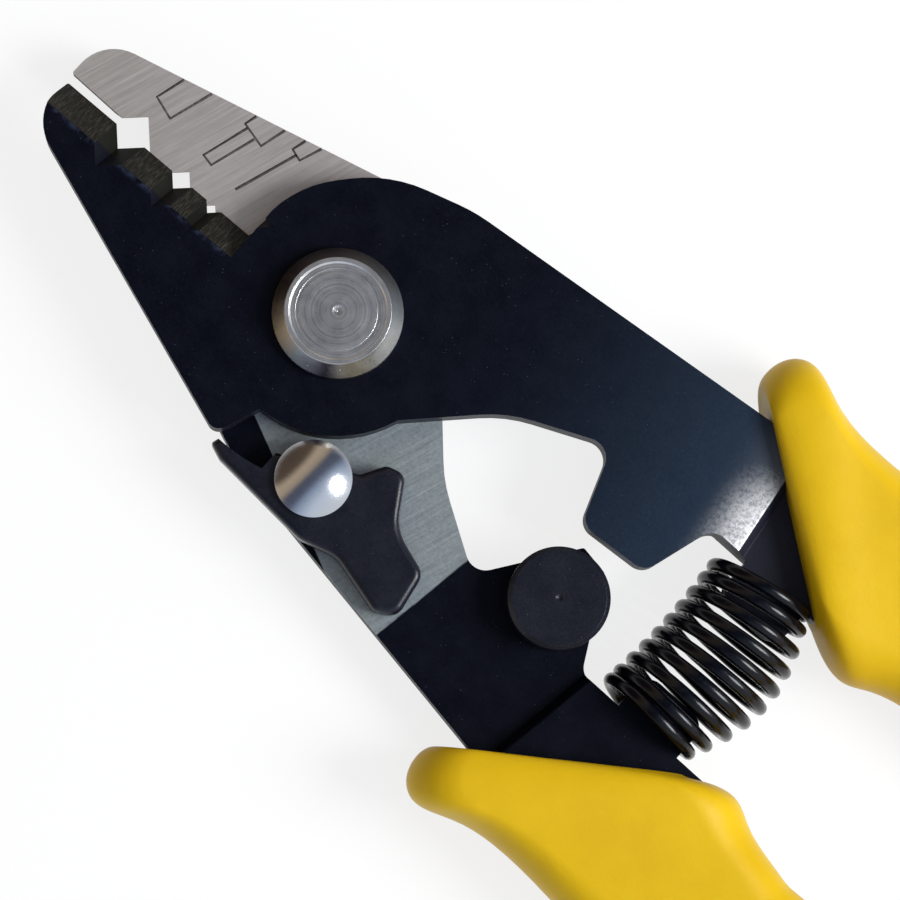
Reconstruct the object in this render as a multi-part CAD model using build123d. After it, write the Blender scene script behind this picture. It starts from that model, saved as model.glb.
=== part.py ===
from build123d import *
from dataclasses import dataclass
import math
import os

# Plier-type fibre stripper, in millimetres, lying on its back.
# The origin is on the pivot axis in the plane that the tool rests on.
# +X runs from the pivot to the jaw tips and +Z points away from the surface.
# The front lever carries the jaw on +Y and the handle on -Y, and lies on the rear lever.
# Handle features are given along the handle from the pivot and out from its middle line.

# Lapped steel plates
PLATE = 3.2
PLATE_GAP = 0.1
GRIP_THICK = 11.5
BORE_CLEARANCE = 0.05

# Pose at rest, in degrees
FRONT_SPLAY = 8.3
REAR_SPLAY = 8.7
CLOSING_TURN = 3.3
OPENING_TURN = 18.5

# Jaws
JAW_REACH = 34.3
REAR_JAW_REACH = 34.75
JAW_ROOT = 11.2
NOSE_WIDTH = 5.4
REAR_NOSE_WIDTH = 5.1
NOSE_RADIUS = 4.7
TIP_ROUND = 0.2
FRONT_EDGE_ROOT = -0.27
FRONT_EDGE_TIP = 0.46
REAR_EDGE = -0.28
REAR_TOOTH_SETBACK = 0.86
EDGE_LAND = 0.3
BEVEL_WIDTH = 3.0

# Stripping notches: square hole when closed, distance from the pivot and front notch depth
JACKET_HOLE = 1.98
BUFFER_HOLE = 0.81
COATING_HOLE = 0.14
JACKET_REACH = 26.5
BUFFER_REACH = 20.0
COATING_REACH = 16.0
JACKET_DEPTH = 1.76
BUFFER_DEPTH = 1.25
COATING_DEPTH = 0.92
NOTCH_ANGLE = 90.0

# Front heel, which the lock catches, and the shorter rear heel
FRONT_HEEL_X = 1.1
FRONT_HEEL_WIDTH = 16.2
FRONT_HEEL_LEAN = 0.37
REAR_HEEL_X = 3.5
REAR_HEEL_WIDTH = 13.7
HEEL_ROUND = 1.1
BOSS_RADIUS = 11.6

# Shoulder and outer edge of the handles
SHOULDER_X = 11.65
SHOULDER_DROP = 6.0
SHOULDER_RADIUS = 11.0
SHOULDER_TURN_X = 5.4
SHOULDER_TURN_OUT = 13.4
SHOULDER_TURN_RADIUS = 13.5
SHOULDER_END = 5.3
SHOULDER_END_RADIUS = 17.0
FRONT_SHOULDER_OUT = 15.5
FRONT_SPINE_OUT = 14.3
REAR_SHOULDER_OUT = 16.2
REAR_SPINE_OUT = 16.2
REAR_SET_OUT = 0.75

# Throat, foot and spring seat
THROAT_ALONG = 18.6
THROAT_OUT = 1.2
THROAT_RADIUS = 14.0
FRONT_HOOK_ALONG = 28.6
FRONT_HOOK_OUT = 4.2
REAR_HOOK_ALONG = 27.1
REAR_HOOK_OUT = 4.7
HOOK_RADIUS = 1.9
FOOT_NEAR = 30.3
FOOT_FAR = 37.7
FOOT_NEAR_DROP = 3.7
FOOT_FAR_DROP = 4.15
FOOT_RADIUS = 1.7
REAR_FOOT_NEAR = 31.9
REAR_FOOT_FAR = 35.0
REAR_FOOT_DROP = 5.2
REAR_FOOT_RADIUS = 0.35
SEAT_START = 40.1
SEAT_END = 57.0
FRONT_SEAT_OUT = 8.85
REAR_SEAT_OUT = 9.6
SEAT_ROUND = 1.8

# Pressed step that brings each handle to the middle plane: on the lap face, then on the outer face
LAP_STEP = 41.3
FACE_STEP = 44.1
STEP_RUN = 0.7
STEP_ROUND = 0.3

# Bowed tang inside each grip
BOW_START = 52.0
BOW_OUT = 9.0
BOW_RADIUS = 250.0
TANG_WIDTH = 11.0
TANG_LENGTH = 66.0
TANG_ROUND = 4.0

# Moulded grips
REAR_GRIP_OUT = 1.6
GRIP_LENGTH = 80.5
GRIP_WIDTH = 19.2
COLLAR_REACH = 60.0
COLLAR_THICK = 11.5
GROOVE_THICK = 10.4

# Return spring between the handles
SPRING_X = -48.3
SPRING_DIAMETER = 11.2
SPRING_WIRE = 1.15
SPRING_TURNS = 11
SPRING_SEAT_GAP = 0.12
SPUR_WIDTH = 7.4
SPUR_HEIGHT = 4.2
SPUR_ROUND = 1.6

# Pivot rivet
PIVOT_SHANK = 8.0
PIVOT_HEAD = 12.5
PIVOT_CROWN = 10.1
PIVOT_FLANGE = 0.8
PIVOT_HEAD_GAP = 0.08
PIVOT_RIM_WIDTH = 0.35
PIVOT_FLOOR_DEPTH = 0.15
PIVOT_GROOVE_RADIUS = 3.9
PIVOT_GROOVE_WIDTH = 0.3
PIVOT_DIMPLE = 0.5
PIVOT_BACK_HEAD = 11.6
PIVOT_BACK_FACE = 9.0
WASHER_DIAMETER = 14.0
WASHER_THICK = 0.8

# Lock latch
LATCH_X = -8.8
LATCH_Y = 13.15
LATCH_THICK = 2.5
LATCH_REACH = 14.0
LATCH_REST_TURN = 6.0
LATCH_HUB = 3.8
LATCH_EDGE_ROUND = 0.7
LATCH_RIVET_SHANK = 4.0
LATCH_DOME = 7.4
LATCH_DOME_RISE = 1.9
LATCH_WASHER_THICK = 0.3
LATCH_PLAY = 0.05
LATCH_TAIL = 6.0
LATCH_TAIL_THICK = 0.9
HEEL_CLEARANCE = 0.28

# Closing stop button
STOP_X = -33.6
STOP_DIAMETER = 9.8
STOP_RISE = 3.6
STOP_PLAY = 0.07
STOP_EDGE = 0.4
STOP_DIMPLE = 0.35
STOP_SHANK = 5.0

# Levels worked out from the stack
MID_Z = GRIP_THICK / 2
FRONT_BOTTOM = MID_Z + PLATE_GAP / 2
FRONT_TOP = FRONT_BOTTOM + PLATE
REAR_TOP = MID_Z - PLATE_GAP / 2
REAR_BOTTOM = REAR_TOP - PLATE
LATCH_BOTTOM = REAR_TOP + LATCH_WASHER_THICK + LATCH_PLAY
LATCH_TOP = LATCH_BOTTOM + LATCH_THICK

NOTCHES = [
    (JACKET_HOLE, JACKET_REACH, JACKET_DEPTH),
    (BUFFER_HOLE, BUFFER_REACH, BUFFER_DEPTH),
    (COATING_HOLE, COATING_REACH, COATING_DEPTH),
]


def handle_point(splay, along, out):
    """Plan point along a handle and out from its middle line, for the front lever."""
    turn = math.radians(splay)
    x = -along * math.cos(turn) + out * math.sin(turn)
    y = -along * math.sin(turn) - out * math.cos(turn)
    return (x, y)


def bow_point(splay, set_out, length, out):
    """Plan point at a length of the bowed grip line and out from that line."""
    turn = length / BOW_RADIUS
    reach = BOW_RADIUS + out
    along = BOW_START + reach * math.sin(turn)
    return handle_point(splay, along, BOW_OUT + set_out - BOW_RADIUS + reach * math.cos(turn))


def edge_height(edge_root, edge_tip, x):
    """Height of a cutting edge above the middle line at a distance from the pivot."""
    return edge_root + (edge_tip - edge_root) * (x - JAW_ROOT) / (JAW_REACH - JAW_ROOT)


def rounded(corners):
    """Face inside a closed outline of (point, corner radius) pairs."""
    points = [point for point, radius in corners]
    radii = [radius for point, radius in corners]
    return make_face(FilletPolyline(*points, radius=radii, close=True))


def tang_face(splay, set_out):
    """Bowed strip of steel that runs inside the grip."""
    half = TANG_WIDTH / 2
    inner = [bow_point(splay, set_out, TANG_LENGTH * share, -half) for share in (0, 0.5, 1)]
    outer = [bow_point(splay, set_out, TANG_LENGTH * share, half) for share in (1, 0.5, 0)]
    sides = [ThreePointArc(*inner), Line(inner[2], outer[0]), ThreePointArc(*outer), Line(outer[2], inner[0])]
    face = make_face(sides)
    ends = face.vertices().sort_by(Axis.X)[:2]
    return fillet(ends, TANG_ROUND)


@dataclass
class Handle:
    """Handle half of a lever blank; its places are along and out from the middle line."""

    splay: float
    set_out: float
    seat_out: float
    shoulder_out: float
    spine_out: float
    hook: tuple
    foot: list
    foot_radius: float


FRONT_HANDLE = Handle(
    splay=FRONT_SPLAY,
    set_out=0.0,
    seat_out=FRONT_SEAT_OUT,
    shoulder_out=FRONT_SHOULDER_OUT,
    spine_out=FRONT_SPINE_OUT,
    hook=(FRONT_HOOK_ALONG, FRONT_HOOK_OUT),
    foot=[(FOOT_NEAR, FOOT_NEAR_DROP), (FOOT_FAR, FOOT_FAR_DROP)],
    foot_radius=FOOT_RADIUS,
)
REAR_HANDLE = Handle(
    splay=REAR_SPLAY,
    set_out=REAR_SET_OUT,
    seat_out=REAR_SEAT_OUT,
    shoulder_out=REAR_SHOULDER_OUT,
    spine_out=REAR_SPINE_OUT,
    hook=(REAR_HOOK_ALONG, REAR_HOOK_OUT),
    foot=[(REAR_FOOT_NEAR, REAR_FOOT_DROP), (REAR_FOOT_FAR, REAR_FOOT_DROP)],
    foot_radius=REAR_FOOT_RADIUS,
)


def handle_corners(handle):
    """Outline of the throat, foot, spring seat and outer edge, from the boss round to the shoulder."""
    splay = handle.splay
    set_out = handle.set_out
    tang_in = BOW_OUT - TANG_WIDTH / 2 + set_out
    tang_out = BOW_OUT + TANG_WIDTH / 2 + set_out
    tang_start = SEAT_END + SEAT_ROUND * 2
    foot = [(handle_point(splay, along, set_out - drop), handle.foot_radius) for along, drop in handle.foot]
    return [
        ((0.0, BOSS_RADIUS * 0.6), 0),
        (handle_point(splay, BOSS_RADIUS * 0.7, set_out - BOSS_RADIUS * 0.6), 0),
        (handle_point(splay, THROAT_ALONG, set_out + THROAT_OUT), THROAT_RADIUS),
        (handle_point(splay, handle.hook[0], set_out + handle.hook[1]), HOOK_RADIUS),
        *foot,
        ((-SEAT_START, -handle.seat_out), SEAT_ROUND),
        ((-SEAT_END, -handle.seat_out), SEAT_ROUND),
        (handle_point(splay, tang_start, tang_in), 0),
        (handle_point(splay, tang_start, tang_out), 0),
        (handle_point(splay, BOW_START - SEAT_ROUND, handle.spine_out), SEAT_ROUND * 2),
        (handle_point(splay, SHOULDER_END, handle.shoulder_out), SHOULDER_END_RADIUS),
        ((SHOULDER_TURN_X, -SHOULDER_TURN_OUT - set_out * 0.5), SHOULDER_TURN_RADIUS),
        ((SHOULDER_X, -SHOULDER_DROP), SHOULDER_RADIUS),
    ]


def lever_plan(handle, jaw_corners):
    """Plan of a whole lever blank: jaw, boss, handle and tang."""
    outline = rounded(jaw_corners + handle_corners(handle))
    return outline + Circle(BOSS_RADIUS) + tang_face(handle.splay, handle.set_out)


def joggled_band(splay):
    """Plate-thick band that steps from the lapped level down to the middle plane."""
    drop = FRONT_BOTTOM - (MID_Z - PLATE / 2)
    span = GRIP_LENGTH * 2
    side = [
        ((-JAW_REACH * 2, 0), 0),
        ((LAP_STEP, 0), STEP_ROUND),
        ((LAP_STEP + STEP_RUN, -drop), STEP_ROUND),
        ((span, -drop), 0),
        ((span, PLATE - drop), 0),
        ((FACE_STEP + STEP_RUN, PLATE - drop), STEP_ROUND),
        ((FACE_STEP, PLATE), STEP_ROUND),
        ((-JAW_REACH * 2, PLATE), 0),
    ]
    along = Vector(*handle_point(splay, 1, 0), 0)
    across = Vector(0, 0, 1).cross(along)
    plane = Plane(origin=(0, 0, FRONT_BOTTOM), x_dir=along, z_dir=across * -1)
    return extrude(plane * rounded(side), span, both=True)


def bevel_cut(edge_root, edge_tip):
    """Material ground off above the sloping face behind a cutting edge."""
    turn = math.degrees(math.atan2(edge_tip - edge_root, JAW_REACH - JAW_ROOT))
    slope = (PLATE - EDGE_LAND) / BEVEL_WIDTH
    over = BEVEL_WIDTH * 2
    face = make_face(Polyline(
        (-over, EDGE_LAND - over * slope),
        (over, EDGE_LAND + over * slope),
        (-over, EDGE_LAND + over * slope),
        close=True,
    ))
    start = Plane(origin=(JAW_ROOT, edge_root, FRONT_BOTTOM), x_dir=(0, 1, 0), z_dir=(1, 0, 0))
    length = (JAW_REACH - JAW_ROOT) * 1.5
    return extrude(start * face, length).rotate(Axis((JAW_ROOT, edge_root, 0), (0, 0, 1)), turn)


def notch_cut(x, apex_y):
    """Vee groove run up the bevel from its mouth at the cutting edge."""
    reach = BEVEL_WIDTH * 2
    half = reach * math.tan(math.radians(NOTCH_ANGLE / 2))
    vee = make_face(Polyline((x, apex_y), (x + half, apex_y - reach), (x - half, apex_y - reach), close=True))
    slope = Vector(0, BEVEL_WIDTH, PLATE - EDGE_LAND).normalized()
    foot = Pos(0, 0, FRONT_BOTTOM + EDGE_LAND) * vee
    groove = extrude(foot, PLATE * 3, dir=slope)
    straight = extrude(Pos(0, 0, FRONT_BOTTOM - PLATE) * vee, PLATE + EDGE_LAND)
    return groove + straight


def closing_shift(x):
    """Sideways travel of the front edge at a distance from the pivot when the jaws close."""
    return x * math.tan(math.radians(CLOSING_TURN))


def front_apex(notch):
    """Height of a front notch's bottom at rest."""
    hole, x, depth = notch
    return edge_height(FRONT_EDGE_ROOT, FRONT_EDGE_TIP, x) + depth


def rear_apex(notch):
    """Height of a rear notch's bottom, which leaves a square hole when the jaws are closed."""
    hole, x, depth = notch
    return front_apex(notch) - closing_shift(x) - hole * math.sqrt(2)


def spur(seat_out):
    """Tongue inside the coil that keeps the spring on its seat."""
    length = SPUR_HEIGHT + PLATE
    face = Pos(SPRING_X, -seat_out + SPUR_HEIGHT - length / 2) * Rectangle(SPUR_WIDTH, length)
    face = fillet(face.vertices().sort_by(Axis.Y)[-2:], SPUR_ROUND)
    return extrude(Pos(0, 0, MID_Z - PLATE / 2) * face, PLATE)


def front_heel_root():
    """Point inside the boss where the leaning edge of the front heel ends."""
    level = BOSS_RADIUS * 0.9
    return (FRONT_HEEL_X - FRONT_HEEL_LEAN * (FRONT_HEEL_WIDTH - level), level)


def lever_solid(handle, jaw_corners):
    """Stepped lever blank with its spring spur and pivot hole."""
    blank = extrude(lever_plan(handle, jaw_corners), GRIP_THICK * 2)
    body = (blank & joggled_band(handle.splay)) + spur(handle.seat_out)
    return body - Cylinder(PIVOT_SHANK / 2 + BORE_CLEARANCE, GRIP_THICK * 4)


def front_lever():
    """Upper lever, with the bevel and notches of its jaw facing the viewer."""
    corners = [
        ((JAW_ROOT, FRONT_EDGE_ROOT), 0),
        ((JAW_REACH, FRONT_EDGE_TIP), TIP_ROUND),
        ((JAW_REACH, NOSE_WIDTH), NOSE_RADIUS),
        ((FRONT_HEEL_X, FRONT_HEEL_WIDTH), HEEL_ROUND),
        (front_heel_root(), 0),
    ]
    body = lever_solid(FRONT_HANDLE, corners)
    body -= bevel_cut(FRONT_EDGE_ROOT, FRONT_EDGE_TIP)
    for notch in NOTCHES:
        body -= notch_cut(notch[1], front_apex(notch))
    return body


def turned_over(shape):
    """The shape turned half a turn about the tool's long middle line."""
    return shape.rotate(Axis((0, 0, MID_Z), (1, 0, 0)), 180)


def rear_lever():
    """Lower lever, the same blank turned over, with a flat shear face towards the viewer."""
    step_x = JACKET_REACH
    corners = [
        ((JAW_ROOT, REAR_EDGE), 0),
        ((step_x, REAR_EDGE), 0),
        ((step_x, REAR_EDGE + REAR_TOOTH_SETBACK), 0),
        ((REAR_JAW_REACH, REAR_EDGE + REAR_TOOTH_SETBACK), TIP_ROUND),
        ((REAR_JAW_REACH, REAR_NOSE_WIDTH), NOSE_RADIUS * 0.9),
        ((REAR_HEEL_X, REAR_HEEL_WIDTH), HEEL_ROUND),
    ]
    body = lever_solid(REAR_HANDLE, corners)
    body -= bevel_cut(REAR_EDGE, REAR_EDGE)
    for notch in NOTCHES:
        body -= notch_cut(notch[1], -rear_apex(notch))
    body = turned_over(body)
    for x, y, radius in [(LATCH_X, LATCH_Y, LATCH_RIVET_SHANK / 2), (STOP_X, stop_y(), STOP_SHANK / 2)]:
        body -= Pos(x, y, MID_Z) * Cylinder(radius + BORE_CLEARANCE, GRIP_THICK * 2)
    return body


def stop_y():
    """Place of the stop that the front foot meets when the jaws are closed."""
    near = Vector(*handle_point(FRONT_SPLAY, FOOT_NEAR, -FOOT_NEAR_DROP)).rotate(Axis.Z, -CLOSING_TURN)
    far = Vector(*handle_point(FRONT_SPLAY, FOOT_FAR, -FOOT_FAR_DROP)).rotate(Axis.Z, -CLOSING_TURN)
    rise = (far.Y - near.Y) / (far.X - near.X)
    foot = near.Y + rise * (STOP_X - near.X)
    return foot + (STOP_DIAMETER / 2 + STOP_PLAY) / math.cos(math.atan(rise))


def grip_section(inner, outer, thick):
    """Full-round section between an inner and an outer plan point."""
    inner = Vector(*inner, MID_Z)
    outer = Vector(*outer, MID_Z)
    across = (outer - inner).normalized()
    width = (outer - inner).length
    plane = Plane(origin=(inner + outer) * 0.5, x_dir=across, z_dir=across.cross(Vector(0, 0, 1)))
    return plane * RectangleRounded(width, thick, thick * 0.46)


def grip_solid(splay, set_out):
    """Moulded grip: an oblique flared collar, a soft groove and a bowed handle."""
    half = GRIP_WIDTH / 2
    collar = [
        ((0.9083, 0.0083), (0.6317, 0.2783), COLLAR_THICK * 0.74),
        ((0.9417, -0.0133), (0.6217, 0.3267), COLLAR_THICK * 0.95),
        ((0.9900, -0.0325), (0.6667, 0.3633), COLLAR_THICK),
        ((1.0383, -0.0200), (0.7283, 0.3367), COLLAR_THICK * 0.95),
        ((1.1000, -0.0117), (0.8083, 0.3083), GROOVE_THICK),
    ]
    body = [
        (20.0, half * 0.96, GROOVE_THICK),
        (33.0, half, COLLAR_THICK * 0.96),
        (50.0, half * 0.98, COLLAR_THICK * 0.97),
        (66.0, half * 0.95, COLLAR_THICK * 0.95),
        (GRIP_LENGTH - 4.0, half * 0.82, COLLAR_THICK * 0.83),
        (GRIP_LENGTH - 0.8, half * 0.56, COLLAR_THICK * 0.55),
        (GRIP_LENGTH, half * 0.3, COLLAR_THICK * 0.28),
    ]
    sections = []
    for inner, outer, thick in collar:
        inner_point = handle_point(splay, inner[0] * COLLAR_REACH, inner[1] * COLLAR_REACH + set_out)
        outer_point = handle_point(splay, outer[0] * COLLAR_REACH, outer[1] * COLLAR_REACH + set_out)
        sections.append(grip_section(inner_point, outer_point, thick))
    for length, reach, thick in body:
        inner_point = bow_point(splay, set_out, length, -reach)
        outer_point = bow_point(splay, set_out, length, reach)
        sections.append(grip_section(inner_point, outer_point, thick))
    return loft(sections)


def spring_solid():
    """Compression spring whose axis runs between the two seats."""
    radius = (SPRING_DIAMETER - SPRING_WIRE) / 2
    inset = SPRING_WIRE / 2 + SPRING_SEAT_GAP
    start = -FRONT_SEAT_OUT + inset
    length = FRONT_SEAT_OUT + REAR_SEAT_OUT - inset * 2
    coil = Helix(
        pitch=length / SPRING_TURNS,
        height=length,
        radius=radius,
        center=(SPRING_X, start, MID_Z),
        direction=(0, 1, 0),
    )
    section = Plane(origin=coil @ 0, z_dir=coil % 0) * Circle(SPRING_WIRE / 2)
    return sweep(section, path=coil, is_frenet=True)


def turned(profile):
    """Solid turned about the Z axis from (radius, level) points."""
    return revolve(make_face(Plane.XZ * Polyline(*profile, close=True)), Axis.Z)


def pivot_rivet():
    """Pivot with a ringed front head and a flat back head formed over the washer."""
    shank = PIVOT_SHANK / 2
    head_bottom = FRONT_TOP + PIVOT_HEAD_GAP
    floor = GRIP_THICK - PIVOT_FLOOR_DEPTH
    rim = PIVOT_CROWN / 2 - PIVOT_RIM_WIDTH
    groove_out = PIVOT_GROOVE_RADIUS + PIVOT_GROOVE_WIDTH / 2
    groove_in = PIVOT_GROOVE_RADIUS - PIVOT_GROOVE_WIDTH / 2
    back = REAR_BOTTOM - WASHER_THICK
    return turned([
        (0, 0),
        (PIVOT_BACK_FACE / 2, 0),
        (PIVOT_BACK_HEAD / 2, back * 0.55),
        (PIVOT_BACK_HEAD / 2, back),
        (shank, back),
        (shank, head_bottom),
        (PIVOT_HEAD / 2, head_bottom),
        (PIVOT_HEAD / 2, head_bottom + PIVOT_FLANGE),
        (PIVOT_CROWN / 2, GRIP_THICK),
        (rim, GRIP_THICK),
        (rim - PIVOT_FLOOR_DEPTH, floor),
        (groove_out, floor),
        (groove_out, floor - PIVOT_FLOOR_DEPTH),
        (groove_in, floor - PIVOT_FLOOR_DEPTH),
        (groove_in, floor),
        (PIVOT_DIMPLE, floor),
        (0, floor - PIVOT_DIMPLE),
    ])


def pivot_washer():
    """Plain washer between the rear lever and the back head."""
    bore = PIVOT_SHANK / 2 + BORE_CLEARANCE
    ring = Cylinder(WASHER_DIAMETER / 2, WASHER_THICK) - Cylinder(bore, WASHER_THICK * 2)
    return Pos(0, 0, REAR_BOTTOM - WASHER_THICK / 2) * ring


def latch_plan():
    """Outline of the latch about its rivet, in the hooked pose."""
    corners = [
        ((0.5857, -0.0714), 0.0214),
        ((0.7036, 0.2071), 0.0214),
        ((0.5929, 0.2607), 0.0571),
        ((-0.1643, 0.3821), 0.2143),
        ((-0.4357, 0.3321), 0.2143),
        ((-0.8571, 0.4821), 0.0929),
        ((-1.0071, 0.4107), 0.1000),
        ((-0.9821, 0.0786), 0.1000),
        ((-0.6643, -0.0571), 0.3214),
        ((-0.4893, -0.4000), 0.0929),
        ((-0.3464, -0.3714), 0.0786),
        ((-0.2357, -0.2143), 0.0500),
        ((0.3786, 0.0286), 0.0357),
    ]
    outline = rounded([((x * LATCH_REACH, y * LATCH_REACH), r * LATCH_REACH) for (x, y), r in corners])
    return outline + Circle(LATCH_HUB)


def heel_reach():
    """Distance from the pivot to the round corner of the front heel."""
    corner = Vector(FRONT_HEEL_X, FRONT_HEEL_WIDTH)
    edge = (Vector(JAW_REACH, NOSE_WIDTH) - corner).normalized()
    root = (Vector(*front_heel_root()) - corner).normalized()
    half = math.radians(edge.get_angle(root)) / 2
    centre = corner + (edge + root).normalized() * (HEEL_ROUND / math.sin(half))
    return centre.length + HEEL_ROUND


def heel_sweep():
    """Space that the front heel needs beside the latch nose as the jaws open."""
    reach = heel_reach() + HEEL_CLEARANCE
    heel_turn = math.degrees(math.atan2(FRONT_HEEL_WIDTH, FRONT_HEEL_X))
    swing = OPENING_TURN + 1.5
    stop_turn = math.radians(heel_turn + swing)
    stop = (reach * math.cos(stop_turn), reach * math.sin(stop_turn))
    root = Vector(*front_heel_root()).rotate(Axis.Z, swing)
    sector = make_face([
        Line((0, 0), (reach, 0)),
        CenterArc((0, 0), reach, 0, heel_turn + swing),
        Line(stop, (root.X, root.Y)),
        Line((root.X, root.Y), (0, 0)),
    ])
    return extrude(sector, GRIP_THICK * 2)


def lock_latch():
    """Swinging lock with a nose for the heel and a rounded thumb tab."""
    plate = extrude(Pos(0, 0, LATCH_BOTTOM) * latch_plan(), LATCH_THICK)
    plate = fillet(plate.faces().sort_by(Axis.Z)[-1].edges(), LATCH_EDGE_ROUND)
    body = plate - Cylinder(LATCH_RIVET_SHANK / 2 + BORE_CLEARANCE, GRIP_THICK * 4)
    body = Pos(LATCH_X, LATCH_Y, 0) * (Rot(0, 0, LATCH_REST_TURN) * body)
    return body - heel_sweep()


def latch_washer():
    """Thin washer that gives the latch its friction."""
    bore = LATCH_RIVET_SHANK / 2 + BORE_CLEARANCE
    ring = Cylinder(LATCH_HUB * 0.96, LATCH_WASHER_THICK) - Cylinder(bore, LATCH_WASHER_THICK * 2)
    return Pos(LATCH_X, LATCH_Y, REAR_TOP + LATCH_WASHER_THICK / 2) * ring


def latch_rivet():
    """Domed rivet that carries the latch on the rear lever."""
    dome_bottom = LATCH_TOP + LATCH_PLAY
    half = LATCH_DOME / 2
    shank = LATCH_RIVET_SHANK / 2
    tail = REAR_BOTTOM - LATCH_TAIL_THICK
    crown = LATCH_DOME_RISE * 0.75
    ball = (half ** 2 + crown ** 2) / (2 * crown)
    head = Pos(0, 0, dome_bottom + LATCH_DOME_RISE / 2) * Cylinder(half, LATCH_DOME_RISE)
    head &= Pos(0, 0, dome_bottom + LATCH_DOME_RISE - ball) * Sphere(ball)
    stem = turned([
        (0, tail),
        (LATCH_TAIL / 2, tail),
        (LATCH_TAIL / 2, REAR_BOTTOM),
        (shank, REAR_BOTTOM),
        (shank, dome_bottom),
        (0, dome_bottom),
    ])
    return Pos(LATCH_X, LATCH_Y, 0) * (head + stem)


def stop_button():
    """Round stop whose shank is headed over in the rear lever."""
    half = STOP_DIAMETER / 2
    top = REAR_TOP + STOP_RISE
    body = turned([
        (0, REAR_BOTTOM),
        (STOP_SHANK / 2, REAR_BOTTOM),
        (STOP_SHANK / 2, REAR_TOP),
        (half, REAR_TOP),
        (half, top - STOP_EDGE),
        (half - STOP_EDGE, top),
        (STOP_DIMPLE, top),
        (0, top - STOP_DIMPLE * 0.6),
    ])
    return Pos(STOP_X, stop_y(), 0) * body


def main():
    """Build every piece and write it to its own file."""
    os.makedirs("parts", exist_ok=True)
    front = front_lever()
    rear = rear_lever()
    pieces = {
        "front_lever": front,
        "rear_lever": rear,
        "front_grip": grip_solid(FRONT_SPLAY, 0) - front,
        "rear_grip": turned_over(grip_solid(REAR_SPLAY, REAR_GRIP_OUT)) - rear,
        "pivot_rivet": pivot_rivet(),
        "pivot_washer": pivot_washer(),
        "lock_latch": lock_latch(),
        "latch_rivet": latch_rivet(),
        "latch_washer": latch_washer(),
        "stop_button": stop_button(),
        "return_spring": spring_solid(),
    }
    for name, shape in pieces.items():
        export_step(shape, f"parts/{name}.step")
    print("heel reach", round(heel_reach(), 3), "stop y", round(stop_y(), 3))


main()
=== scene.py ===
"""Visual model of a three-hole fibre stripper, dressed round its packed steel frame.

Lengths are millimetres unless a name or comment says metres; meshes are in metres.
The front lever lies on top, its jaw on +Y; the rear lever lies below it, its jaw on -Y.
"""
import logging
import math
from dataclasses import dataclass, field
from enum import Enum
from typing import Optional, Sequence, Union

import bmesh
import bpy
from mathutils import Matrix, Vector


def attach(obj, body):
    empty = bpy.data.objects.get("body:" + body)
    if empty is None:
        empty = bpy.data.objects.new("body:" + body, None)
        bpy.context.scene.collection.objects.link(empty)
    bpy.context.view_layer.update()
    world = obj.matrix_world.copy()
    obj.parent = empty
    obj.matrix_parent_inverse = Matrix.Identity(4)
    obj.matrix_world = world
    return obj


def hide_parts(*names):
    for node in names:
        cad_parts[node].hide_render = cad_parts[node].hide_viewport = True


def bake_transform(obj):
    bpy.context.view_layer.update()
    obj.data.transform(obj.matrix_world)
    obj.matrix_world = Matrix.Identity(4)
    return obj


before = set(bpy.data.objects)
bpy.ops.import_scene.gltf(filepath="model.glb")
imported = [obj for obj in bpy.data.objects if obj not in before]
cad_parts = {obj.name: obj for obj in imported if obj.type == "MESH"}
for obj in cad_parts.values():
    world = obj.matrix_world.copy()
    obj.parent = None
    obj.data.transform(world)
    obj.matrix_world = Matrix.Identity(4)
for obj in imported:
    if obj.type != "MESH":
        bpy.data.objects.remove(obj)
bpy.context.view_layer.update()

LOG = logging.getLogger("fibre_stripper")
MM = 0.001
MID_LEVEL = 5.75
FRONT_TOP = 9.0
REAR_TOP = 5.7
LAP_LEVEL_FRONT = 5.8
FRONT_SPLAY = 8.3

Number = Union[float, "Field"]
Colour = tuple[float, float, float]
Point = tuple[float, float]


class Body(Enum):
    """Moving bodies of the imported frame."""

    REAR = "rear_half"
    FRONT = "front_half"
    LATCH = "latch"


class Slot(Enum):
    """Material slots of the part's record."""

    BLACKENED = "blackened_steel"
    GROUND = "ground_steel"
    TURNED = "turned_steel"
    POLISHED = "polished_steel"
    SPRING = "spring_steel"
    VINYL = "yellow_vinyl"


class Field:
    """A value that changes over a surface, which Python can calculate with."""

    def __init__(self, paint: "Paint", socket: bpy.types.NodeSocket) -> None:
        """Wrap a socket of a material's tree."""
        self.paint = paint
        self.socket = socket

    def _math(self, operation: str, first: Number, second: Number) -> "Field":
        """Math node on two values."""
        return self.paint.node("ShaderNodeMath", {"operation": operation}, [first, second])

    def __add__(self, other: Number) -> "Field":
        """Sum."""
        return self._math("ADD", self, other)

    __radd__ = __add__

    def __mul__(self, other: Number) -> "Field":
        """Product."""
        return self._math("MULTIPLY", self, other)

    __rmul__ = __mul__

    def __sub__(self, other: Number) -> "Field":
        """Difference."""
        return self._math("SUBTRACT", self, other)

    def __rsub__(self, other: Number) -> "Field":
        """Difference from a number."""
        return self._math("SUBTRACT", other, self)

    def __abs__(self) -> "Field":
        """Size without sign."""
        return self._math("ABSOLUTE", self, 0.0)

    def larger(self, other: Number) -> "Field":
        """The larger of two values."""
        return self._math("MAXIMUM", self, other)

    def rise(self, low: float, high: float) -> "Field":
        """Smooth step from 0 at low to 1 at high; low may be the larger.

        Args:
            low: value where the step begins.
            high: value where it ends.

        Returns:
            The step, from 0 to 1.
        """
        settings = {"interpolation_type": "SMOOTHSTEP"}
        return self.paint.node("ShaderNodeMapRange", settings, [self, low, high, 0.0, 1.0])


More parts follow.
